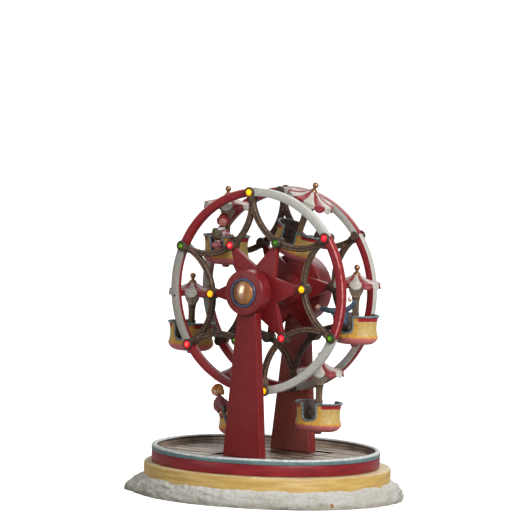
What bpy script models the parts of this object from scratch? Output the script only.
# Ferris wheel music box: a battery-run village piece with a lit, turning wheel of six gondolas.
# Frame: +Z up, the wheel turns about an axis along Y, and its lit front faces -Y.
# The origin is the centre of the base at its resting face. All lengths are metres.
from math import acos, asin, atan2, cos, hypot, pi, radians, sin, sqrt, tau

import bmesh
import bpy
from mathutils import Matrix, Vector

MM = 0.001
GAP = 0.3 * MM              # the gap kept between pieces that touch
RUNNING = 0.3 * MM          # radial clearance of everything that turns
WELD = 0.001 * MM           # distance under which points are the same

# Base
STEP_RADIUS = 94.0 * MM
SNOW_REACH_X = 11.0 * MM         # how far the snow reaches past the step along X
SNOW_REACH_Y = 7.0 * MM          # and along Y
SNOW_LIP_HEIGHT = 4.0 * MM       # where the snow is widest
SNOW_TOP_HEIGHT = 13.0 * MM      # where the snow meets the step
SNOW_RIPPLE = 1.6 * MM           # how far its outline wanders
SNOW_LEDGE = 11.0 * MM           # width of the ledge that carries the step
STEP_TOP_HEIGHT = 22.5 * MM
STEP_WALL = 14.0 * MM
STEP_TREAD = 8.0 * MM            # tread of the step outside the drum
DRUM_WALL = 3.8 * MM
DRUM_HEIGHT = 8.2 * MM
FLOOR_LEDGE = 5.0 * MM
RING_HEIGHT = 4.0 * MM
RING_EDGE = 0.8 * MM
FLOOR_THICKNESS = 2.5 * MM
FLOOR_SINK = 6.0 * MM            # floor below the top of the ring
BASE_SEGMENTS = 48

# Underside, battery bay, switch and sound
COVER_RECESS = 2.0 * MM          # underside of the cover above the table
COVER_THICKNESS = 1.8 * MM
SCREW_RADIUS = 1.1 * MM
SCREW_HEAD_RADIUS = 2.2 * MM
SCREW_HEAD_HEIGHT = 1.2 * MM
SCREW_LENGTH = 5.0 * MM
CELL_RADIUS = 7.25 * MM          # AA cell
CELL_LENGTH = 49.2 * MM
CELL_TIP_RADIUS = 2.6 * MM
CELL_TIP_LENGTH = 1.3 * MM
CELL_COUNT = 3
BAY_WALL = 1.5 * MM
BAY_INSET = 52.0 * MM            # middle of the battery bay from the step's side
DOOR_PIN_RADIUS = 0.7 * MM
DOOR_PIN_REACH = 2.2 * MM
SWITCH_LENGTH = 15.4 * MM
SWITCH_HEIGHT = 5.8 * MM
SWITCH_DEPTH = 9.0 * MM
SWITCH_SINK = 3.2 * MM
SWITCH_TRAVEL = 5.4 * MM         # off, light, light and music
KNOB_LENGTH = 4.0 * MM
KNOB_HEIGHT = 1.8 * MM
SPEAKER_RADIUS = 20.0 * MM
SPEAKER_HEIGHT = 14.0 * MM
SPEAKER_INSET = 52.0 * MM        # middle of the speaker from the step's side
SPEAKER_Y = -26.0 * MM
SOUND_HOLE_RADIUS = 2.4 * MM
BOARD_INSET = 53.0 * MM          # middle of the board from the step's side
BOARD_Y = 29.0 * MM
BOARD_LENGTH = 38.0 * MM
BOARD_WIDTH = 30.0 * MM
BOARD_THICKNESS = 1.6 * MM
BOARD_LIFT = 7.0 * MM
POST_RADIUS = 2.0 * MM
CHIP_LENGTH = 10.0 * MM
CHIP_WIDTH = 8.0 * MM
CHIP_HEIGHT = 2.2 * MM
CAPACITOR_RADIUS = 3.2 * MM
CAPACITOR_HEIGHT = 5.5 * MM

# Towers
TUB_CLEARANCE = 5.1 * MM         # lowest gondola above the floor
TOWER_FOOT_HALF_WIDTH = 17.2 * MM
TOWER_HUB_HALF_WIDTH = 7.2 * MM
TOWER_BEVEL = 0.7 * MM
FRONT_TOWER_THICKNESS = 8.0 * MM
FRONT_TOWER_FACE_Y = -36.0 * MM
FRONT_BOSS_RADIUS = 17.0 * MM
FRONT_BOSS_PROUD = 4.5 * MM
FRONT_CAVITY_RADIUS = 8.4 * MM
FRONT_CAVITY_BACK_WALL = 3.6 * MM
WIRE_WAY_WALL = 1.2 * MM         # wall in front of the wire way
WIRE_WAY = 2.0 * MM
CAP_RING_RADIUS = 11.0 * MM
CAP_RING_THICKNESS = 0.9 * MM
CAP_DOME_RADIUS = 9.0 * MM
CAP_DOME_HEIGHT = 3.6 * MM
REAR_TOWER_THICKNESS = 9.4 * MM
REAR_TOWER_FACE_Y = 31.0 * MM
REAR_TOWER_WALL = 1.8 * MM
REAR_HEAD_RADIUS = 26.0 * MM
REAR_HEAD_FACE_Y = 25.0 * MM
REAR_HEAD_BACK_Y = 41.0 * MM
REAR_HEAD_WALL = 2.0 * MM
REAR_HOLLOW_OVERLAP = 4.0 * MM   # how far the leg's hollow runs up into the head's
REAR_SCREW_INSET = 4.0 * MM      # cover screws inside the cover's edge
DECK_HALF_LENGTH = 28.0 * MM
DECK_FRONT_Y = -31.0 * MM
DECK_BACK_Y = 48.0 * MM
DECK_LIP = 5.0 * MM              # how far the deck plate's flange reaches under the floor
DECK_LIP_THICKNESS = 1.7 * MM
DECK_HOLE_HALF_WIDTH = 6.0 * MM  # wires go down through it from the rear tower
SEAM = 0.4 * MM

# Wheel
WHEEL_PHASE = radians(6.5)       # how far the wheel stands turned in the photograph
NODE_RADIUS = 74.4 * MM          # circle of the outer lamps
RIM_OUTSIDE = 2.9 * MM           # rim outside that circle
RIM_INSIDE = 3.1 * MM            # rim inside it
PIVOT_INSET = 0.3 * MM           # gondola pins inside it
RIM_DEPTH = 6.0 * MM
FRAME_MID_Y = 21.0 * MM          # each frame's middle plane, in front of and behind the hub
LATTICE_DEPTH = 4.5 * MM
LATTICE_WIDTH = 4.5 * MM
STAR_TIP_RADIUS = 41.2 * MM      # circle of the inner lamps
OUTER_BOSS_RADIUS = 4.3 * MM
INNER_BOSS_RADIUS = 4.1 * MM
INNER_BOSS_FRONT = 3.6 * MM      # boss past the frame's middle, towards its lamp
INNER_BOSS_BACK = 4.6 * MM       # boss past the frame's middle, towards the other frame
SADDLE_FRONT = 1.0 * MM          # thickness of the saddle's tongue over the rim's lit face
SADDLE_BACK = 2.2 * MM           # thickness of the saddle's tongue behind the rim
SADDLE_HALF_WIDTH = 3.0 * MM
SADDLE_SLACK = 0.1 * MM          # step between the saddle's tongues and the bosses on them
SADDLE_ROOT = 5.5 * MM           # how far the saddle reaches inwards of the rim
STAR_NOTCH_RADIUS = 18.8 * MM
STAR_TIP_HALF_WIDTH = 1.6 * MM
STAR_DEPTH = 4.5 * MM
AXLE_RADIUS = 3.0 * MM
BUSH_RADIUS = 4.8 * MM
BUSH_FLANGE_RADIUS = 6.5 * MM
BUSH_FLANGE = 0.8 * MM
SPOOL_RADIUS = 8.0 * MM
SPOOL_FLANGE_RADIUS = 13.0 * MM
SPOOL_FLANGE = 2.5 * MM
SLIP_SLEEVE_RADIUS = 4.4 * MM
SLIP_RING_RADIUS = 5.2 * MM
MOTOR_RADIUS = 22.0 * MM
COUPLER_RADIUS = 5.8 * MM
COUPLER_LENGTH = 6.5 * MM
AXLE_SETBACK = 2.5 * MM          # front end of the axle behind the boss's face
LAMP_RADIUS = 2.5 * MM
LAMP_PROUD = 1.6 * MM

# Gondolas
GONDOLAS = 6
PIN_RADIUS = 1.0 * MM
TUB_HALF_LENGTH = 18.5 * MM
TUB_HALF_WIDTH = 14.5 * MM
TUB_WALL = 1.4 * MM
TUB_RIM_DROP = 21.5 * MM         # rim below the pin
TUB_DEPTH = 21.5 * MM
TUB_FLOOR = 3.0 * MM
KEEL_HEIGHT = 2.2 * MM
DOOR_WIDTH = 12.0 * MM
DOOR_DEPTH = 12.5 * MM
DOOR_INNER_SHARE = 0.55          # where a doorway's cutter ends, as a share of the tub's half width
POLE_RADIUS = 2.5 * MM
CAPITAL_RADIUS = 5.6 * MM
CAPITAL_DROP = 8.0 * MM          # where the capital leaves the pole, below the pin
CAPITAL_SHOULDER = 2.4 * MM      # where it is widest, below the pin
CANOPY_HALF_LENGTH = 19.0 * MM
CANOPY_HALF_WIDTH = 14.8 * MM
CANOPY_FLAPS = 12
CANOPY_EAVE = 2.6 * MM           # eave above the pin
CANOPY_FLAP_DROP = 2.8 * MM      # flap's tip below the pin
CANOPY_NOTCH = 1.5 * MM          # notch between flaps, above the pin
FINIAL_RADIUS = 2.2 * MM
FINIAL_HEIGHT = 14.0 * MM
GONDOLA_TILTS = {2: radians(20)}  # the gondola that has stuck on its pin, swung towards -X

# Riders, from the middle of a tub's floor
LOOKOUT_HEIGHT = 33.0 * MM
LOOKOUT_GIRTH = 3.6 * MM
LOOKOUT_PLACE = Vector((0.0, -7.6 * MM, 0.0))
WAVER_HEIGHT = 31.0 * MM
WAVER_GIRTH = 3.3 * MM
WAVER_PLACE = Vector((-7.5 * MM, -5.0 * MM, 0.0))
LEANER_HEIGHT = 35.0 * MM
LEANER_GIRTH = 3.1 * MM
LEANER_PLACE = Vector((-8.6 * MM, -3.0 * MM, 0.5 * MM))
LEANER_LEAN = radians(-8)


def material(name, colour, roughness, metallic=0.0):
    made = bpy.data.materials.new(name)
    made.use_nodes = True
    shader = made.node_tree.nodes["Principled BSDF"]
    shader.inputs["Base Color"].default_value = (*colour, 1.0)
    shader.inputs["Roughness"].default_value = roughness
    shader.inputs["Metallic"].default_value = metallic
    made.diffuse_color = (*colour, 1.0)
    return made


def finishes():
    return {
        "snow": material("snow", (0.62, 0.60, 0.55), 0.85),
        "yellow": material("yellow_paint", (0.80, 0.50, 0.13), 0.45),
        "red": material("red_paint", (0.30, 0.02, 0.025), 0.40),
        "teal": material("teal_paint", (0.08, 0.20, 0.24), 0.40),
        "planks": material("plank_brown", (0.10, 0.065, 0.05), 0.60),
        "black": material("black_plastic", (0.02, 0.02, 0.022), 0.50),
        "steel": material("steel", (0.55, 0.55, 0.56), 0.30, 1.0),
        "cell": material("cell_jacket", (0.10, 0.12, 0.16), 0.35, 0.6),
        "board": material("board_green", (0.02, 0.12, 0.05), 0.45),
        "paper": material("speaker_paper", (0.04, 0.04, 0.04), 0.80),
        "motor": material("motor_plate", (0.50, 0.50, 0.48), 0.35, 1.0),
        "blue": material("blue_paint", (0.03, 0.08, 0.22), 0.35),
        "copper": material("copper_paint", (0.60, 0.28, 0.12), 0.30, 0.8),
        "bronze": material("bushing_bronze", (0.45, 0.28, 0.12), 0.35, 1.0),
        "brown": material("dark_wood_paint", (0.10, 0.055, 0.035), 0.50),
        "white": material("white_paint", (0.62, 0.61, 0.57), 0.45),
        "rider_red": material("rider_red_coat", (0.40, 0.05, 0.06), 0.55),
        "rider_blue": material("rider_blue_jacket", (0.06, 0.11, 0.20), 0.55),
        "rider_maroon": material("rider_maroon_coat", (0.22, 0.05, 0.05), 0.55),
    }


def bodies_of(mesh_builder):
    """Turns a bmesh into mesh data with sound, outward faces."""
    bmesh.ops.remove_doubles(mesh_builder, verts=mesh_builder.verts, dist=WELD)
    bmesh.ops.recalc_face_normals(mesh_builder, faces=mesh_builder.faces)
    data = bpy.data.meshes.new("shape")
    mesh_builder.to_mesh(data)
    mesh_builder.free()
    return data


def place(name, data, finish, at=(0, 0, 0), parent=None):
    made = bpy.data.objects.new(name, data)
    data.name = name
    bpy.context.scene.collection.objects.link(made)
    made.location = at
    made.parent = parent
    data.materials.append(finish)
    data.shade_smooth()
    data.set_sharp_from_angle(angle=radians(35))
    return made


def ring_points(radius, count, centre=(0.0, 0.0), start=0.0, sweep=tau):
    """Points on a circle; a sweep short of a full turn includes both its ends."""
    steps = count if sweep == tau else count - 1
    return [
        (centre[0] + radius * cos(start + sweep * i / steps),
         centre[1] + radius * sin(start + sweep * i / steps))
        for i in range(count)
    ]


def slab(loops, low, high, axis="Z"):
    """Solid between two levels on an axis, from an outline and any hole outlines.

    Along Y an outline gives X and Z; along X it gives Y and Z.
    """
    to_space = {
        "Z": lambda p, level: (p[0], p[1], level),
        "Y": lambda p, level: (p[0], level, p[1]),
        "X": lambda p, level: (level, p[0], p[1]),
    }[axis]
    made = bmesh.new()
    edges = []
    for loop in loops:
        corners = [made.verts.new(to_space(point, low)) for point in loop]
        edges += [made.edges.new((corners[i - 1], corners[i])) for i in range(len(corners))]
    bmesh.ops.triangle_fill(made, use_beauty=True, use_dissolve=False, edges=edges)
    grown = bmesh.ops.extrude_face_region(made, geom=made.faces[:])
    lifted = [item for item in grown["geom"] if isinstance(item, bmesh.types.BMVert)]
    rise = Vector(to_space((0.0, 0.0), high)) - Vector(to_space((0.0, 0.0), low))
    bmesh.ops.translate(made, verts=lifted, vec=rise)
    return bodies_of(made)


def turned(profile, steps, axis="Z", centre=(0, 0, 0), squash=1.0, squash_over=0.0):
    """Solid of revolution from (radius, level) points; it closes at the axis or as a ring.

    Rings wider than squash_over are pressed to an oval along Y.
    """
    made = bmesh.new()
    line = [made.verts.new((radius, 0.0, level)) for radius, level in profile]
    edges = [made.edges.new((line[i], line[i + 1])) for i in range(len(line) - 1)]
    if profile[0][0] > WELD:
        edges.append(made.edges.new((line[-1], line[0])))
    bmesh.ops.spin(made, geom=line + edges, axis=(0, 0, 1), cent=(0, 0, 0),
                   angle=tau, steps=steps, use_merge=True)
    if squash != 1.0:
        for vert in made.verts:
            if hypot(vert.co.x, vert.co.y) > squash_over:
                vert.co.y *= squash
    if axis == "Y":
        made.transform(Matrix.Rotation(-pi / 2, 4, "X"))
    made.transform(Matrix.Translation(centre))
    return bodies_of(made)


def block(low, high):
    made = bmesh.new()
    middle = (Vector(low) + Vector(high)) / 2
    size = Vector(high) - Vector(low)
    bmesh.ops.create_cube(made, size=1.0, matrix=Matrix.Translation(middle) @ Matrix.Diagonal((*size, 1)))
    return bodies_of(made)


def rod(radius, low, high, steps, axis="Y", centre=(0, 0, 0)):
    return turned([(0, low), (radius, low), (radius, high), (0, high)], steps, axis, centre)


def moved(data, by=(0, 0, 0), turn=0.0):
    """Turns mesh data about +Y, then moves it."""
    data.transform(Matrix.Rotation(turn, 4, "Y"))
    data.transform(Matrix.Translation(by))
    return data


def gathered(parts):
    """Puts meshes that don't touch into one mesh."""
    made = bmesh.new()
    for part in parts:
        made.from_mesh(part)
        bpy.data.meshes.remove(part)
    data = bpy.data.meshes.new("shape")
    made.to_mesh(data)
    made.free()
    return data


def boolean(data, tool, operation):
    """Joins or cuts two meshes and returns the result as new mesh data."""
    scene = bpy.context.scene
    body = bpy.data.objects.new("body", data)
    other = bpy.data.objects.new("tool", tool)
    scene.collection.objects.link(body)
    scene.collection.objects.link(other)
    step = body.modifiers.new("join", "BOOLEAN")
    step.operation = operation
    step.solver = "EXACT"
    step.object = other
    graph = bpy.context.evaluated_depsgraph_get()
    result = bpy.data.meshes.new_from_object(body.evaluated_get(graph))
    bpy.data.objects.remove(body)
    bpy.data.objects.remove(other)
    result.materials.clear()
    return result


def cut(data, *tools):
    for tool in tools:
        data = boolean(data, tool, "DIFFERENCE")
    return data


def joined(data, *others):
    for other in others:
        data = boolean(data, other, "UNION")
    return data


def bevelled(data, width):
    made = bmesh.new()
    made.from_mesh(data)
    edges = [e for e in made.edges if len(e.link_faces) == 2 and e.calc_face_angle() > radians(30)]
    bmesh.ops.bevel(made, geom=edges, offset=width, segments=1, profile=0.5, affect="EDGES",
                    material=-1, clamp_overlap=True)
    return bodies_of(made)


# Places and levels that several pieces share
DRUM_RADIUS = STEP_RADIUS - STEP_TREAD
BAY_CENTRE_X = BAY_INSET - STEP_RADIUS
SPEAKER_X = STEP_RADIUS - SPEAKER_INSET
BOARD_X = STEP_RADIUS - BOARD_INSET
STEP_SEAT = COVER_RECESS + COVER_THICKNESS + GAP
DRUM_BOTTOM = STEP_TOP_HEIGHT + GAP
RING_BOTTOM = DRUM_BOTTOM + DRUM_HEIGHT + GAP
RING_TOP = RING_BOTTOM + RING_HEIGHT
FLOOR_TOP = RING_TOP - FLOOR_SINK
RIM_OUTER_RADIUS = NODE_RADIUS + RIM_OUTSIDE
RIM_INNER_RADIUS = NODE_RADIUS - RIM_INSIDE
PIVOT_RADIUS = NODE_RADIUS - PIVOT_INSET
HUB_HEIGHT = FLOOR_TOP + TUB_CLEARANCE + KEEL_HEIGHT + TUB_DEPTH + TUB_RIM_DROP + PIVOT_RADIUS
FLOOR_BOTTOM = FLOOR_TOP - FLOOR_THICKNESS
DRUM_INNER = DRUM_RADIUS - DRUM_WALL
STEP_INNER = STEP_RADIUS - STEP_WALL
COVER_TOP = COVER_RECESS + COVER_THICKNESS
HUB = Vector((0.0, 0.0, HUB_HEIGHT))
FRONT_BOSS_FACE_Y = FRONT_TOWER_FACE_Y - FRONT_BOSS_PROUD
FRONT_TOWER_BACK_Y = FRONT_TOWER_FACE_Y + FRONT_TOWER_THICKNESS
FRONT_CAVITY_END_Y = FRONT_TOWER_BACK_Y - FRONT_CAVITY_BACK_WALL
WIRE_WAY_Y = FRONT_TOWER_FACE_Y + WIRE_WAY_WALL
REAR_TOWER_BACK_Y = REAR_TOWER_FACE_Y + REAR_TOWER_THICKNESS
REAR_CAVITY_RADIUS = REAR_HEAD_RADIUS - REAR_HEAD_WALL
REAR_CAVITY_Y = REAR_HEAD_FACE_Y + REAR_HEAD_WALL
BAY_WIDTH = CELL_COUNT * 2 * CELL_RADIUS + (CELL_COUNT + 1) * 2 * GAP
BAY_LENGTH = CELL_LENGTH + CELL_TIP_LENGTH + 2 * GAP
DOOR_HINGE_Y = -BAY_LENGTH / 2 - BAY_WALL / 2
DOOR_HINGE_Z = COVER_RECESS + COVER_THICKNESS / 2
DOOR_HALF_WIDTH = BAY_WIDTH / 2 + BAY_WALL / 2
AXLE_FRONT_Y = FRONT_BOSS_FACE_Y + AXLE_SETBACK
COUPLER_FRONT_Y = REAR_CAVITY_Y + 2 * GAP
AXLE_BACK_Y = COUPLER_FRONT_Y + COUPLER_LENGTH - 2 * GAP
MOTOR_BACK_Y = REAR_HEAD_BACK_Y - REAR_HEAD_WALL - GAP


def snow_radius(angle):
    """Outline of the snow: an ellipse that wanders between the four places where it touches its box."""
    half_length = STEP_RADIUS + SNOW_REACH_X
    half_depth = STEP_RADIUS + SNOW_REACH_Y
    half = hypot(half_length * cos(angle), half_depth * sin(angle))
    wander = 0.5 * sin(3 * angle + 0.6) + 0.35 * sin(5 * angle + 2.0) + 0.25 * cos(9 * angle)
    return half + SNOW_RIPPLE * wander * sin(2 * angle) ** 2


def make_snow_base(finish):
    seat = STEP_RADIUS + GAP
    bore = STEP_RADIUS - SNOW_LEDGE
    made = bmesh.new()
    rows = []
    for i in range(BASE_SEGMENTS):
        angle = tau * i / BASE_SEGMENTS
        edge = snow_radius(angle)
        top = SNOW_TOP_HEIGHT + 0.35 * MM * sin(4 * angle + 1.0) + 0.25 * MM * cos(7 * angle)
        profile = [
            (bore, 0.0), (edge - 2.2 * MM, 0.0), (edge, SNOW_LIP_HEIGHT),
            (edge - 2.0 * MM, SNOW_LIP_HEIGHT + 3.0 * MM),
            ((edge + seat) / 2, (SNOW_LIP_HEIGHT + 3.0 * MM + top) / 2 + 1.0 * MM),
            (seat, top), (seat, STEP_SEAT - GAP), (bore, STEP_SEAT - GAP),
        ]
        rows.append([made.verts.new((r * cos(angle), r * sin(angle), z)) for r, z in profile])
    for i in range(BASE_SEGMENTS):
        here, there = rows[i - 1], rows[i]
        for j in range(len(here)):
            made.faces.new((here[j - 1], here[j], there[j], there[j - 1]))
    return place("snow_base", bodies_of(made), finish["snow"])


def screw_places(count, radius, start=0.0):
    return [spot(radius, start + tau * i / count) for i in range(count)]


def make_lower_step(finish):
    edge = 1.0 * MM
    profile = [
        (STEP_INNER, STEP_SEAT), (STEP_RADIUS, STEP_SEAT), (STEP_RADIUS, STEP_TOP_HEIGHT - edge),
        (STEP_RADIUS - edge, STEP_TOP_HEIGHT), (STEP_INNER, STEP_TOP_HEIGHT),
    ]
    ring = turned(profile, BASE_SEGMENTS)
    middle = switch_middle_height()
    pocket = block(
        (-SWITCH_LENGTH / 2 - GAP, STEP_INNER - 5 * MM, middle - SWITCH_HEIGHT / 2 - GAP),
        (SWITCH_LENGTH / 2 + GAP, STEP_RADIUS + 2 * MM, middle + SWITCH_HEIGHT / 2 + GAP),
    )
    return place("lower_step", cut(ring, pocket), finish["yellow"])


def switch_middle_height():
    return (SNOW_TOP_HEIGHT + STEP_TOP_HEIGHT) / 2


def make_upper_drum(finish):
    top = DRUM_BOTTOM + DRUM_HEIGHT
    ledge = DRUM_INNER - FLOOR_LEDGE
    profile = [
        (ledge, DRUM_BOTTOM), (DRUM_RADIUS, DRUM_BOTTOM), (DRUM_RADIUS, top), (DRUM_INNER, top),
        (DRUM_INNER, FLOOR_BOTTOM - GAP), (ledge, FLOOR_BOTTOM - GAP),
    ]
    place("upper_drum", turned(profile, BASE_SEGMENTS), finish["red"])
    profile = [
        (DRUM_INNER, RING_BOTTOM), (DRUM_RADIUS, RING_BOTTOM), (DRUM_RADIUS, RING_TOP - RING_EDGE),
        (DRUM_RADIUS - RING_EDGE, RING_TOP), (DRUM_INNER + RING_EDGE, RING_TOP),
        (DRUM_INNER, RING_TOP - RING_EDGE),
    ]
    place("rim_ring", turned(profile, BASE_SEGMENTS), finish["teal"])


def rectangle(x0, y0, x1, y1):
    return [(x0, y0), (x1, y0), (x1, y1), (x0, y1)]


def make_floor(finish):
    half = DECK_HALF_LENGTH + SEAM
    front = DECK_FRONT_Y - SEAM
    wire = WIRE_WAY / 2 + SEAM
    wire_front = WIRE_WAY_Y - SEAM
    opening = [
        (-half, front), (-wire, front), (-wire, wire_front), (wire, wire_front), (wire, front),
        (half, front), (half, DECK_BACK_Y + SEAM), (-half, DECK_BACK_Y + SEAM),
    ]
    outline = ring_points(DRUM_INNER - GAP, BASE_SEGMENTS)
    place("plank_floor", slab([outline, opening], FLOOR_BOTTOM, FLOOR_TOP), finish["planks"])
    inside = REAR_TOWER_WALL
    side = DECK_HOLE_HALF_WIDTH
    wire_hole = rectangle(-side, REAR_TOWER_FACE_Y + inside, side, REAR_TOWER_BACK_Y - inside)
    deck = rectangle(-DECK_HALF_LENGTH, DECK_FRONT_Y, DECK_HALF_LENGTH, DECK_BACK_Y)
    plate = slab([deck, wire_hole], FLOOR_BOTTOM, FLOOR_TOP)
    reach = DECK_HALF_LENGTH + DECK_LIP
    end = 0.4 * DECK_LIP
    lip = rectangle(-reach, DECK_FRONT_Y + end, reach, DECK_BACK_Y - end)
    side += GAP
    lip_hole = rectangle(-side, REAR_TOWER_FACE_Y + inside / 2, side, REAR_TOWER_BACK_Y - inside / 2)
    flange = slab([lip, lip_hole], FLOOR_BOTTOM - GAP - DECK_LIP_THICKNESS, FLOOR_BOTTOM - GAP)
    near = DECK_HALF_LENGTH - end
    neck_outline = rectangle(-near, DECK_FRONT_Y + 2 * end, near, DECK_BACK_Y - 2 * end)
    neck = slab([neck_outline, lip_hole], FLOOR_BOTTOM - 3 * GAP, FLOOR_BOTTOM + 3 * GAP)
    place("deck_plate", joined(plate, joined(flange, neck)), finish["planks"])


def sound_holes():
    """One hole in the middle and a ring of them, under the speaker."""
    spots = [(0.0, 0.0)]
    spots += screw_places(8, 0.5 * SPEAKER_RADIUS)
    return [ring_points(SOUND_HOLE_RADIUS, 6, (SPEAKER_X + x, SPEAKER_Y + y)) for x, y in spots]


def make_bottom_cover(finish):
    half = DOOR_HALF_WIDTH + SEAM
    back = DOOR_HINGE_Y - COVER_THICKNESS / 2 - SEAM
    front = -DOOR_HINGE_Y + SEAM
    notch = DOOR_PIN_REACH + SEAM
    notch_front = DOOR_HINGE_Y + DOOR_PIN_RADIUS + SEAM
    opening = [
        (BAY_CENTRE_X - half - notch, back), (BAY_CENTRE_X + half + notch, back),
        (BAY_CENTRE_X + half + notch, notch_front), (BAY_CENTRE_X + half, notch_front),
        (BAY_CENTRE_X + half, front), (BAY_CENTRE_X - half, front),
        (BAY_CENTRE_X - half, notch_front), (BAY_CENTRE_X - half - notch, notch_front),
    ]
    outline = ring_points(STEP_RADIUS - SNOW_LEDGE - GAP, BASE_SEGMENTS)
    plate = slab([outline, opening] + sound_holes(), COVER_RECESS, COVER_TOP)
    posts = [
        rod(POST_RADIUS, COVER_TOP - 0.5 * MM, COVER_TOP + BOARD_LIFT, 8, "Z",
            (BOARD_X + sx * (BOARD_LENGTH / 2 - 4 * MM), BOARD_Y + sy * (BOARD_WIDTH / 2 - 4 * MM), 0))
        for sx in (-1, 1) for sy in (-1, 1)
    ]
    place("bottom_cover", joined(plate, gathered(posts)), finish["black"])


def cell_middles():
    pitch = 2 * CELL_RADIUS + 2 * GAP
    return [BAY_CENTRE_X + (i - (CELL_COUNT - 1) / 2) * pitch for i in range(CELL_COUNT)]


def make_battery_bay(finish):
    floor = COVER_TOP + GAP
    top = floor + 2 * CELL_RADIUS + 3 * GAP
    outer = block(
        (BAY_CENTRE_X - BAY_WIDTH / 2 - BAY_WALL, -BAY_LENGTH / 2 - BAY_WALL, floor),
        (BAY_CENTRE_X + BAY_WIDTH / 2 + BAY_WALL, BAY_LENGTH / 2 + BAY_WALL, top + BAY_WALL),
    )
    inner = block(
        (BAY_CENTRE_X - BAY_WIDTH / 2, -BAY_LENGTH / 2, floor - 1 * MM),
        (BAY_CENTRE_X + BAY_WIDTH / 2, BAY_LENGTH / 2, top),
    )
    place("battery_box", cut(outer, inner), finish["black"])
    middle = floor + GAP + CELL_RADIUS
    total = CELL_LENGTH + CELL_TIP_LENGTH
    for i, x in enumerate(cell_middles()):
        cell = turned([
            (0, 0), (CELL_RADIUS - 0.4 * MM, 0), (CELL_RADIUS, 0.4 * MM), (CELL_RADIUS, CELL_LENGTH),
            (CELL_TIP_RADIUS, CELL_LENGTH), (CELL_TIP_RADIUS, total), (0, total),
        ], 14, "Y", (0, -total / 2, 0))
        if i % 2:
            cell.transform(Matrix.Rotation(pi, 4, "Z"))
        place(f"battery_cell_{i + 1}", moved(cell, (x, 0, middle)), finish["cell"])


def make_battery_door(finish):
    """Door in the cover, on two stub pins; its origin is on the pins' axis."""
    half = COVER_THICKNESS / 2
    length = -2 * DOOR_HINGE_Y
    outline = ring_points(half, 5, (0, 0), pi / 2, pi) + [(length, -half), (length, half)]
    leaf = slab([outline], -DOOR_HALF_WIDTH, DOOR_HALF_WIDTH, "X")
    reach = DOOR_HALF_WIDTH + DOOR_PIN_REACH
    pins = slab([ring_points(DOOR_PIN_RADIUS, 8)], -reach, reach, "X")
    place("battery_door", joined(leaf, pins), finish["black"], (BAY_CENTRE_X, DOOR_HINGE_Y, DOOR_HINGE_Z))


def make_switch(finish):
    middle = switch_middle_height()
    face = STEP_RADIUS - SWITCH_SINK
    slot_half = (SWITCH_TRAVEL + KNOB_LENGTH) / 2 + GAP
    slot_depth = 3.0 * MM
    housing = block((-SWITCH_LENGTH / 2, face - SWITCH_DEPTH, middle - SWITCH_HEIGHT / 2),
                    (SWITCH_LENGTH / 2, face, middle + SWITCH_HEIGHT / 2))
    slot = block((-slot_half, face - slot_depth, middle - KNOB_HEIGHT / 2 - GAP),
                 (slot_half, face + 1 * MM, middle + KNOB_HEIGHT / 2 + GAP))
    place("switch_housing", cut(housing, slot), finish["black"])
    knob = block((-KNOB_LENGTH / 2, -slot_depth + GAP, -KNOB_HEIGHT / 2),
                 (KNOB_LENGTH / 2, SWITCH_SINK - 0.4 * MM, KNOB_HEIGHT / 2))
    place("switch_slider", bevelled(knob, 0.2 * MM), finish["white"], (-SWITCH_TRAVEL / 2, face, middle))


def make_sound(finish):
    low = COVER_TOP + GAP
    frame = [
        (0, low + 2.2 * MM), (6 * MM, low + 2.0 * MM), (SPEAKER_RADIUS - 3 * MM, low + 0.6 * MM),
        (SPEAKER_RADIUS - 2.5 * MM, low), (SPEAKER_RADIUS, low), (SPEAKER_RADIUS, low + 2.0 * MM),
        (10 * MM, low + 7.5 * MM), (10 * MM, low + SPEAKER_HEIGHT), (0, low + SPEAKER_HEIGHT),
    ]
    place("speaker", turned(frame, 20, "Z", (SPEAKER_X, SPEAKER_Y, 0)), finish["paper"])
    board_low = COVER_TOP + BOARD_LIFT + GAP
    board_top = board_low + BOARD_THICKNESS
    board = slab([rectangle(BOARD_X - BOARD_LENGTH / 2, BOARD_Y - BOARD_WIDTH / 2,
                            BOARD_X + BOARD_LENGTH / 2, BOARD_Y + BOARD_WIDTH / 2)], board_low, board_top)
    chip = block((BOARD_X - CHIP_LENGTH, BOARD_Y - CHIP_WIDTH / 2, board_top - BOARD_THICKNESS / 2),
                 (BOARD_X, BOARD_Y + CHIP_WIDTH / 2, board_top + CHIP_HEIGHT))
    can = rod(CAPACITOR_RADIUS, board_top - BOARD_THICKNESS / 2, board_top + CAPACITOR_HEIGHT, 12, "Z",
              (BOARD_X + BOARD_LENGTH / 4, BOARD_Y, 0))
    place("melody_board", joined(board, chip, can), finish["board"])


def tower_half_width(height):
    share = (height - FLOOR_TOP) / (HUB_HEIGHT - FLOOR_TOP)
    return TOWER_FOOT_HALF_WIDTH + (TOWER_HUB_HALF_WIDTH - TOWER_FOOT_HALF_WIDTH) * share


def tower_outline(inset, low, high):
    wide = tower_half_width(low) - inset
    narrow = tower_half_width(high) - inset
    return [(-wide, low), (wide, low), (narrow, high), (-narrow, high)]


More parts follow.
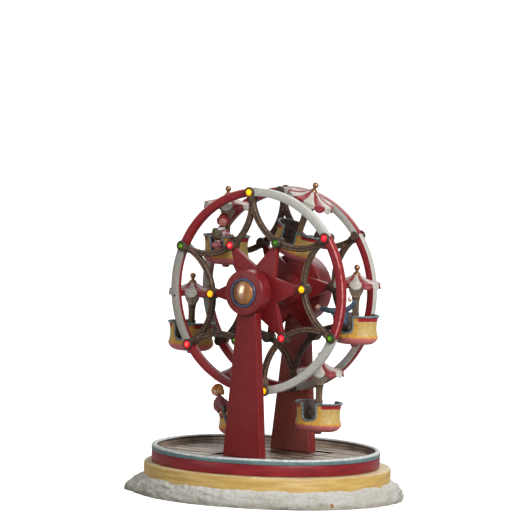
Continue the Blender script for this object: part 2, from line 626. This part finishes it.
def make_front_tower(finish):
    foot = FLOOR_TOP + GAP
    leg = bevelled(slab([tower_outline(0, foot, HUB_HEIGHT)], FRONT_TOWER_FACE_Y, FRONT_TOWER_BACK_Y, "Y"),
                   TOWER_BEVEL)
    boss = turned([
        (0, FRONT_BOSS_FACE_Y), (FRONT_BOSS_RADIUS - TOWER_BEVEL, FRONT_BOSS_FACE_Y),
        (FRONT_BOSS_RADIUS, FRONT_BOSS_FACE_Y + TOWER_BEVEL),
        (FRONT_BOSS_RADIUS, FRONT_TOWER_BACK_Y - 0.6 * MM), (0, FRONT_TOWER_BACK_Y - 0.6 * MM),
    ], 32, "Y", HUB)
    cavity = rod(FRONT_CAVITY_RADIUS, FRONT_BOSS_FACE_Y - 1 * MM, FRONT_CAVITY_END_Y, 20, "Y", HUB)
    bush_hole = rod(BUSH_RADIUS + GAP, FRONT_CAVITY_END_Y - 1 * MM, FRONT_TOWER_BACK_Y + 1 * MM, 16, "Y", HUB)
    wire_way = block((-WIRE_WAY / 2, WIRE_WAY_Y, FLOOR_TOP - 1 * MM),
                     (WIRE_WAY / 2, WIRE_WAY_Y + WIRE_WAY, HUB_HEIGHT))
    body = cut(joined(leg, boss), cavity, bush_hole, wire_way)
    place("front_tower", body, finish["red"])


def make_front_cap(finish):
    face = FRONT_BOSS_FACE_Y - GAP
    inner = CAP_DOME_RADIUS + GAP
    ring = [
        (inner, face - CAP_RING_THICKNESS), (CAP_RING_RADIUS - 0.4 * MM, face - CAP_RING_THICKNESS),
        (CAP_RING_RADIUS, face - CAP_RING_THICKNESS + 0.4 * MM), (CAP_RING_RADIUS, face), (inner, face),
    ]
    place("front_cap_ring", turned(ring, 32, "Y", HUB), finish["blue"])
    base = face - CAP_RING_THICKNESS + 0.3 * MM
    sphere = (CAP_DOME_RADIUS ** 2 + CAP_DOME_HEIGHT ** 2) / (2 * CAP_DOME_HEIGHT)
    spread = asin(CAP_DOME_RADIUS / sphere)
    crown = [
        (sphere * sin(spread * i / 5), base - CAP_DOME_HEIGHT + sphere * (1 - cos(spread * i / 5)))
        for i in range(6)
    ]
    plug = FRONT_BOSS_FACE_Y + 1.2 * MM
    plug_radius = FRONT_CAVITY_RADIUS - GAP
    dome = crown + [(CAP_DOME_RADIUS, face), (plug_radius, face), (plug_radius, plug), (0, plug)]
    place("front_cap_dome", turned(dome, 24, "Y", HUB), finish["copper"])


def make_bushes(finish):
    bore = AXLE_RADIUS + RUNNING
    seat = FRONT_TOWER_BACK_Y + GAP
    front = [
        (bore, FRONT_CAVITY_END_Y), (BUSH_RADIUS, FRONT_CAVITY_END_Y), (BUSH_RADIUS, seat),
        (BUSH_FLANGE_RADIUS, seat), (BUSH_FLANGE_RADIUS, seat + BUSH_FLANGE), (bore, seat + BUSH_FLANGE),
    ]
    place("front_bush", turned(front, 16, "Y", HUB), finish["bronze"])
    seat = REAR_HEAD_FACE_Y - GAP
    rear = [
        (bore, seat - BUSH_FLANGE), (BUSH_FLANGE_RADIUS, seat - BUSH_FLANGE), (BUSH_FLANGE_RADIUS, seat),
        (BUSH_RADIUS, seat), (BUSH_RADIUS, REAR_CAVITY_Y), (bore, REAR_CAVITY_Y),
    ]
    place("rear_bush", turned(rear, 16, "Y", HUB), finish["bronze"])


def make_rear_tower(finish):
    foot = FLOOR_TOP + GAP
    leg = bevelled(slab([tower_outline(0, foot, HUB_HEIGHT)], REAR_TOWER_FACE_Y, REAR_TOWER_BACK_Y, "Y"),
                   TOWER_BEVEL)
    head = turned([
        (0, REAR_HEAD_FACE_Y), (REAR_HEAD_RADIUS - TOWER_BEVEL, REAR_HEAD_FACE_Y),
        (REAR_HEAD_RADIUS, REAR_HEAD_FACE_Y + TOWER_BEVEL), (REAR_HEAD_RADIUS, REAR_HEAD_BACK_Y),
        (0, REAR_HEAD_BACK_Y),
    ], 36, "Y", HUB)
    hollow_top = HUB_HEIGHT - REAR_CAVITY_RADIUS + REAR_HOLLOW_OVERLAP
    hollow = slab([tower_outline(REAR_TOWER_WALL, foot - 1 * MM, hollow_top)],
                  REAR_TOWER_FACE_Y + REAR_TOWER_WALL, REAR_TOWER_BACK_Y - REAR_TOWER_WALL, "Y")
    cavity = rod(REAR_CAVITY_RADIUS, REAR_CAVITY_Y, REAR_HEAD_BACK_Y + 1 * MM, 36, "Y", HUB)
    bush_hole = rod(BUSH_RADIUS + GAP, REAR_HEAD_FACE_Y - 1 * MM, REAR_CAVITY_Y + 1 * MM, 16, "Y", HUB)
    place("rear_tower", cut(joined(leg, head), joined(cavity, hollow), bush_hole), finish["red"])


def rear_screw_places():
    return screw_places(3, REAR_CAVITY_RADIUS - REAR_SCREW_INSET, radians(90))


def make_rear_cover(finish):
    low = REAR_HEAD_BACK_Y - REAR_HEAD_WALL
    outline = ring_points(REAR_CAVITY_RADIUS - GAP, 36)
    bores = [ring_points(SCREW_RADIUS + GAP, 8, spot) for spot in rear_screw_places()]
    cover = slab([outline] + bores, low, REAR_HEAD_BACK_Y, "Y")
    place("rear_cover", cover, finish["red"], HUB)
    head = REAR_HEAD_BACK_Y + GAP
    tip = head - SCREW_LENGTH
    for i, (x, z) in enumerate(rear_screw_places()):
        screw = turned([
            (0, tip), (SCREW_RADIUS, tip), (SCREW_RADIUS, head), (SCREW_HEAD_RADIUS, head),
            (SCREW_HEAD_RADIUS, head + SCREW_HEAD_HEIGHT / 2),
            (SCREW_HEAD_RADIUS * 0.7, head + SCREW_HEAD_HEIGHT), (0, head + SCREW_HEAD_HEIGHT),
        ], 8, "Y", (x, 0, z))
        place(f"rear_cover_screw_{i + 1}", screw, finish["steel"], HUB)


def make_gear_motor(finish):
    front = REAR_CAVITY_Y + GAP
    recess = COUPLER_RADIUS + RUNNING
    end = COUPLER_FRONT_Y + COUPLER_LENGTH + RUNNING
    can = turned([
        (recess, front), (MOTOR_RADIUS - 0.5 * MM, front), (MOTOR_RADIUS, front + 0.5 * MM),
        (MOTOR_RADIUS, MOTOR_BACK_Y), (0, MOTOR_BACK_Y), (0, end), (recess, end),
    ], 28, "Y")
    pilots = gathered([
        rod(SCREW_RADIUS + GAP, REAR_HEAD_BACK_Y - SCREW_LENGTH - GAP, MOTOR_BACK_Y + 1 * MM, 8, "Y",
            (x, 0, z))
        for x, z in rear_screw_places()
    ])
    place("gear_motor", cut(can, pilots), finish["motor"], HUB)


def make_axle(finish, wheel):
    rotor = [
        ("axle", rod(AXLE_RADIUS, AXLE_FRONT_Y, AXLE_BACK_Y, 16), finish["steel"]),
    ]
    bore = AXLE_RADIUS + RUNNING
    spool_end = FRAME_MID_Y - STAR_DEPTH / 2 - GAP
    spool = [
        (bore, -spool_end), (SPOOL_FLANGE_RADIUS, -spool_end),
        (SPOOL_FLANGE_RADIUS, -spool_end + SPOOL_FLANGE), (SPOOL_RADIUS, -spool_end + 2 * SPOOL_FLANGE),
        (SPOOL_RADIUS, spool_end - 2 * SPOOL_FLANGE), (SPOOL_FLANGE_RADIUS, spool_end - SPOOL_FLANGE),
        (SPOOL_FLANGE_RADIUS, spool_end), (bore, spool_end),
    ]
    rotor.append(("hub_spool", turned(spool, 20, "Y"), finish["red"]))
    start = AXLE_FRONT_Y + 0.5 * MM
    end = FRONT_CAVITY_END_Y - 2 * GAP
    width = (end - start) / 6
    sleeve = [(bore, start)]
    for i in range(6):
        radius = SLIP_RING_RADIUS if i in (1, 4) else SLIP_SLEEVE_RADIUS
        sleeve += [(radius, start + i * width), (radius, start + (i + 1) * width)]
    sleeve.append((bore, end))
    rotor.append(("slip_rings", turned(sleeve, 12, "Y"), finish["copper"]))
    hub = [
        (bore, COUPLER_FRONT_Y), (COUPLER_RADIUS, COUPLER_FRONT_Y),
        (COUPLER_RADIUS, COUPLER_FRONT_Y + COUPLER_LENGTH), (bore, COUPLER_FRONT_Y + COUPLER_LENGTH),
    ]
    rotor.append(("motor_coupler", turned(hub, 16, "Y"), finish["bronze"]))
    for name, data, look in rotor:
        place(name, data, look, parent=wheel)
    back = FRONT_CAVITY_RADIUS - 2 * GAP
    holder = block((back - 1.2 * MM, start + width, -1.5 * MM), (back, start + 5 * width, 1.5 * MM))
    fingers = [
        block((SLIP_RING_RADIUS + GAP, start + (i + 0.2) * width, -1.0 * MM),
              (back - 0.6 * MM, start + (i + 0.8) * width, 1.0 * MM))
        for i in (1, 4)
    ]
    place("contact_brushes", joined(holder, gathered(fingers)), finish["copper"], HUB)


def spot(radius, angle):
    return (radius * cos(angle), radius * sin(angle))


def struts():
    """The six bowed struts' common circle: its centre's distance from the hub, and its radius."""
    half = pi / 6
    chord = NODE_RADIUS * sin(half)
    back = NODE_RADIUS * cos(half)
    bow = back - STAR_TIP_RADIUS
    radius = (bow ** 2 + chord ** 2) / (2 * bow)
    return STAR_TIP_RADIUS + radius, radius


def lattice_shape():
    """Six bowed struts from rim boss to rim boss, each touching an inner boss at its middle."""
    distance, radius = struts()
    inside = radius - LATTICE_WIDTH / 2
    outside = radius + LATTICE_WIDTH / 2
    half = pi / 6
    count = 9
    foot = distance * cos(half)
    # the rim side of a strut ends just inside the rim, its hub side where it meets the next strut
    end = RIM_INNER_RADIUS - GAP
    rim_end = pi - acos((distance ** 2 + inside ** 2 - end ** 2) / (2 * distance * inside))
    cusp = foot - sqrt(outside ** 2 - (distance * sin(half)) ** 2)
    hub_end = atan2(cusp * sin(half), cusp * cos(half) - distance)
    outer_loop = []
    inner_loop = []
    for i in range(6):
        turn = tau * i / 6
        centre = spot(distance, turn)
        for j in range(count):
            share = j / (count - 1)
            angle = tau - rim_end + share * (2 * rim_end - tau)
            x, z = spot(inside, turn + angle)
            outer_loop.append((centre[0] + x, centre[1] + z))
            angle = tau - hub_end + share * (2 * hub_end - tau)
            if j < count - 1:
                x, z = spot(outside, turn + angle)
                inner_loop.append((centre[0] + x, centre[1] + z))
    return outer_loop, inner_loop


def lamp_boss(radius, front, back):
    """A round boss with a lamp's lens domed in its front face, which looks along -Y."""
    steps = 2
    dome = [(LAMP_RADIUS * sin(pi / 2 * i / steps), -front - LAMP_PROUD * cos(pi / 2 * i / steps))
            for i in range(steps + 1)]
    return turned(dome + [(radius, -front), (radius, back), (0, back)], 10, "Y")


def saddle():
    """A clip that holds the rim from inside: a root with one tongue in front of it and one behind."""
    root = RIM_INNER_RADIUS - SADDLE_ROOT
    inside = RIM_INNER_RADIUS - GAP
    clear = RIM_DEPTH / 2 + GAP
    front = clear + SADDLE_FRONT
    back = clear + SADDLE_BACK
    slack = clear + SADDLE_SLACK
    outline = [
        (root, -front), (NODE_RADIUS, -front), (NODE_RADIUS, -slack), (inside, -slack),
        (inside, slack), (NODE_RADIUS, slack), (NODE_RADIUS, back), (root, back),
    ]
    return slab([outline], -SADDLE_HALF_WIDTH, SADDLE_HALF_WIDTH)


def make_lattice(name, finish, wheel, side):
    """side is -1 for the front frame and +1 for the rear one, whose lamps face back."""
    clear = RIM_DEPTH / 2 + GAP
    clips = []
    collars = []
    inner = []
    for i in range(6):
        turn = tau * i / 6
        outer_turn = turn + pi / 6
        clips.append(moved(saddle(), turn=-outer_turn))
        x, z = spot(NODE_RADIUS, outer_turn)
        collar = lamp_boss(OUTER_BOSS_RADIUS, clear + SADDLE_FRONT + SADDLE_SLACK, -clear)
        collars.append(moved(collar, (x, 0, z)))
        housing = rod(OUTER_BOSS_RADIUS, clear, clear + SADDLE_BACK + SADDLE_SLACK, 10)
        collars.append(moved(housing, (x, 0, z)))
        x, z = spot(STAR_TIP_RADIUS, turn)
        inner.append(moved(lamp_boss(INNER_BOSS_RADIUS, INNER_BOSS_FRONT, INNER_BOSS_BACK), (x, 0, z)))
    body = slab(lattice_shape(), -LATTICE_DEPTH / 2, LATTICE_DEPTH / 2, "Y")
    body = joined(body, joined(gathered(clips), gathered(collars)), gathered(inner))
    if side > 0:
        body.transform(Matrix.Rotation(pi, 4, "Z"))
    body.transform(Matrix.Translation((0, side * FRAME_MID_Y, 0)))
    place(name, body, finish["brown"], parent=wheel)


def make_rims(finish, wheel):
    """Each rim is one ring, painted in red and white sixths, with a hole for each gondola's pin."""
    count = 60
    for name, side in (("front_rim", -1), ("rear_rim", 1)):
        loops = [ring_points(RIM_OUTER_RADIUS, count), ring_points(RIM_INNER_RADIUS, count)]
        for i in range(GONDOLAS):
            loops.append(ring_points(PIN_RADIUS + GAP, 8, spot(PIVOT_RADIUS, tau * i / GONDOLAS)))
        middle = side * FRAME_MID_Y
        ring = slab(loops, middle - RIM_DEPTH / 2, middle + RIM_DEPTH / 2, "Y")
        place(name, ring, finish["white"], parent=wheel)


def star_shape():
    """Six tapered arms that stop short of the inner bosses."""
    tip = STAR_TIP_RADIUS - INNER_BOSS_RADIUS - GAP
    outline = []
    for i in range(6):
        turn = tau * i / 6
        along, across = spot(1.0, turn), spot(1.0, turn + pi / 2)
        outline.append(spot(STAR_NOTCH_RADIUS, turn - pi / 6))
        for side in (-1, 1):
            outline.append((tip * along[0] + side * STAR_TIP_HALF_WIDTH * across[0],
                            tip * along[1] + side * STAR_TIP_HALF_WIDTH * across[1]))
    return outline


def make_stars(finish, wheel):
    for name, side in (("front_star", -1), ("rear_star", 1)):
        bore = ring_points(AXLE_RADIUS + RUNNING, 12)
        middle = side * FRAME_MID_Y
        plate = slab([star_shape(), bore], middle - STAR_DEPTH / 2, middle + STAR_DEPTH / 2, "Y")
        place(name, plate, finish["red"], parent=wheel)


def gondola_angle(number):
    """Where a gondola's pin stands on the wheel, before the wheel's own phase; 1 is at the upper left."""
    return radians(180 - 60 * number)


def make_pins(finish, wheel):
    reach = FRAME_MID_Y + RIM_DEPTH / 2 - 0.2 * MM
    for number in range(1, GONDOLAS + 1):
        x, z = spot(PIVOT_RADIUS, gondola_angle(number))
        pin = rod(PIN_RADIUS, -reach, reach, 8, "Y", (x, 0, z))
        place(f"gondola_pin_{number}", pin, finish["steel"], parent=wheel)


def tub_shape():
    """Tub, pole and capital in one casting; the pin's axis is the origin."""
    a = TUB_HALF_LENGTH
    rim = -TUB_RIM_DROP
    low = rim - TUB_DEPTH
    floor = low + TUB_FLOOR
    inner = a - TUB_WALL
    profile = [
        (0, low - KEEL_HEIGHT), (0.20 * a, low - KEEL_HEIGHT), (0.24 * a, low - 0.3 * MM),
        (0.78 * a, low + 0.5 * MM), (a, low + 0.26 * TUB_DEPTH), (0.925 * a, low + 0.55 * TUB_DEPTH),
        (0.94 * a, low + 0.80 * TUB_DEPTH), (a, rim), (inner, rim), (0.86 * a, rim - 0.30 * TUB_DEPTH),
        (0.84 * a, floor), (POLE_RADIUS, floor), (POLE_RADIUS, -CAPITAL_DROP),
        (CAPITAL_RADIUS, -CAPITAL_SHOULDER), (CAPITAL_RADIUS, CANOPY_EAVE - 2 * GAP),
        (0, CANOPY_EAVE - 2 * GAP),
    ]
    body = turned(profile, 20, "Z", squash=TUB_HALF_WIDTH / a, squash_over=CAPITAL_RADIUS + WELD)
    half = DOOR_WIDTH / 2
    drop = rim - DOOR_DEPTH
    doorway = [(half, rim + 3 * MM), (-half, rim + 3 * MM)]
    doorway += ring_points(half, 7, (0, drop + half), pi, pi)
    reach = DOOR_INNER_SHARE * TUB_HALF_WIDTH
    doors = gathered([slab([doorway], -a, -reach, "Y"), slab([doorway], reach, a, "Y")])
    pin_hole = rod(PIN_RADIUS + RUNNING, -a, a, 8)
    return cut(body, doors, pin_hole)


def canopy_shape():
    """Striped roof with hanging flaps and a finial; the notches between flaps let the pin through."""
    a = CANOPY_HALF_LENGTH
    eave = CANOPY_EAVE
    neck = FINIAL_HEIGHT - 1.9 * MM
    skirt = 1.4 * MM
    ball = [
        (FINIAL_RADIUS * sin(pi * i / 4), FINIAL_HEIGHT + FINIAL_RADIUS * cos(pi * i / 4)) for i in range(4)
    ]
    roof = ball + [(1.2 * MM, neck), (2.4 * MM, neck - 1.4 * MM), (0.32 * a, eave + 4.4 * MM),
                   (0.62 * a, eave + 1.9 * MM), (0.97 * a, eave)]
    profile = roof + [
        (a, -CANOPY_FLAP_DROP), (a - skirt, -CANOPY_FLAP_DROP), (a - skirt - 0.4 * MM, eave - 1.3 * MM),
        (CAPITAL_RADIUS + 1.5 * MM, eave - GAP), (0, eave - GAP),
    ]
    made = bmesh.new()
    made.from_mesh(turned(profile, 2 * CANOPY_FLAPS, "Z"))
    spacing = tau / (2 * CANOPY_FLAPS)
    for vert in made.verts:
        column = round(atan2(vert.co.y, vert.co.x) / spacing)
        if abs(vert.co.z + CANOPY_FLAP_DROP) < WELD and column % 2 == 0:
            vert.co.z = CANOPY_NOTCH
            vert.co.xy *= 0.97
        if hypot(vert.co.x, vert.co.y) > CAPITAL_RADIUS:
            vert.co.y *= CANOPY_HALF_WIDTH / a
    return bodies_of(made)


def make_gondolas(finish):
    carriers = {}
    tub = tub_shape()
    canopy = canopy_shape()
    for number in range(1, GONDOLAS + 1):
        x, z = spot(PIVOT_RADIUS, WHEEL_PHASE + gondola_angle(number))
        carrier = bpy.data.objects.new(f"gondola_{number}_axis", None)
        bpy.context.scene.collection.objects.link(carrier)
        carrier.location = HUB + Vector((x, 0, z))
        carrier.rotation_euler = (0.0, GONDOLA_TILTS.get(number, 0.0), 0.0)
        place(f"gondola_{number}_tub", tub.copy(), finish["yellow"], parent=carrier)
        place(f"gondola_{number}_canopy", canopy.copy(), finish["white"], parent=carrier)
        carriers[number] = carrier
    bpy.data.meshes.remove(tub)
    bpy.data.meshes.remove(canopy)
    return carriers


def limb(start, end, thick, thin, steps=6):
    """A tapered round limb between two points."""
    start, end = Vector(start), Vector(end)
    way = end - start
    made = bmesh.new()
    bmesh.ops.create_cone(made, cap_ends=True, cap_tris=False, segments=steps,
                          radius1=thick, radius2=thin, depth=way.length)
    made.transform(Matrix.Translation((start + end) / 2) @ way.to_track_quat("Z", "Y").to_matrix().to_4x4())
    return bodies_of(made)


def rider_body(height, girth, arms):
    """A small standing figure: feet at the origin, hands placed in shares of its height."""
    hips = 0.45 * height
    shoulders = 0.70 * height
    coat = turned([
        (0, 0), (0.85 * girth, 0), (0.90 * girth, 0.10 * height), (0.85 * girth, hips),
        (1.12 * girth, 0.465 * height), (1.12 * girth, 0.60 * height), (0.95 * girth, 0.675 * height),
        (0.48 * girth, 0.715 * height), (0.50 * girth, 0.735 * height), (0.92 * girth, 0.78 * height),
        (1.05 * girth, 0.86 * height), (0.95 * girth, 0.93 * height), (0.55 * girth, 0.985 * height),
        (0, height),
    ], 12, "Z", squash=0.85)
    sleeves = []
    for side, hand in arms:
        shoulder = (side * 0.72 * girth, 0, shoulders - 0.45 * girth)
        sleeves.append(limb(shoulder, Vector(hand) * height, 0.55 * girth, 0.45 * girth))
    return joined(coat, *sleeves)


def make_riders(finish, carriers):
    floor = Vector((0, 0, TUB_FLOOR + GAP - TUB_RIM_DROP - TUB_DEPTH))
    lookout = rider_body(LOOKOUT_HEIGHT, LOOKOUT_GIRTH,
                         [(-1, (-0.14, -0.036, 0.53)), (1, (0.14, -0.036, 0.53))])
    place("lookout_rider", moved(lookout, floor + LOOKOUT_PLACE), finish["rider_red"], parent=carriers[1])
    waver = rider_body(WAVER_HEIGHT, WAVER_GIRTH, [(-1, (-0.66, -0.126, 0.72)), (1, (0.135, -0.016, 0.92))])
    place("waving_rider", moved(waver, floor + WAVER_PLACE), finish["rider_blue"], parent=carriers[3])
    leaner = rider_body(LEANER_HEIGHT, LEANER_GIRTH,
                        [(-1, (-0.074, -0.069, 0.486)), (1, (0.103, -0.051, 0.471))])
    place("leaning_rider", moved(leaner, floor + LEANER_PLACE, LEANER_LEAN), finish["rider_maroon"],
          parent=carriers[5])


def main():
    for old in list(bpy.data.objects):
        bpy.data.objects.remove(old)
    finish = finishes()
    make_snow_base(finish)
    make_lower_step(finish)
    make_upper_drum(finish)
    make_floor(finish)
    make_bottom_cover(finish)
    make_battery_bay(finish)
    make_battery_door(finish)
    make_switch(finish)
    make_sound(finish)
    make_front_tower(finish)
    make_front_cap(finish)
    make_bushes(finish)
    make_rear_tower(finish)
    make_rear_cover(finish)
    make_gear_motor(finish)
    wheel = bpy.data.objects.new("wheel_axis", None)
    bpy.context.scene.collection.objects.link(wheel)
    wheel.location = HUB
    wheel.rotation_euler = (0.0, -WHEEL_PHASE, 0.0)
    make_axle(finish, wheel)
    make_lattice("front_lattice", finish, wheel, -1)
    make_lattice("rear_lattice", finish, wheel, 1)
    make_rims(finish, wheel)
    make_stars(finish, wheel)
    make_pins(finish, wheel)
    carriers = make_gondolas(finish)
    make_riders(finish, carriers)


main()
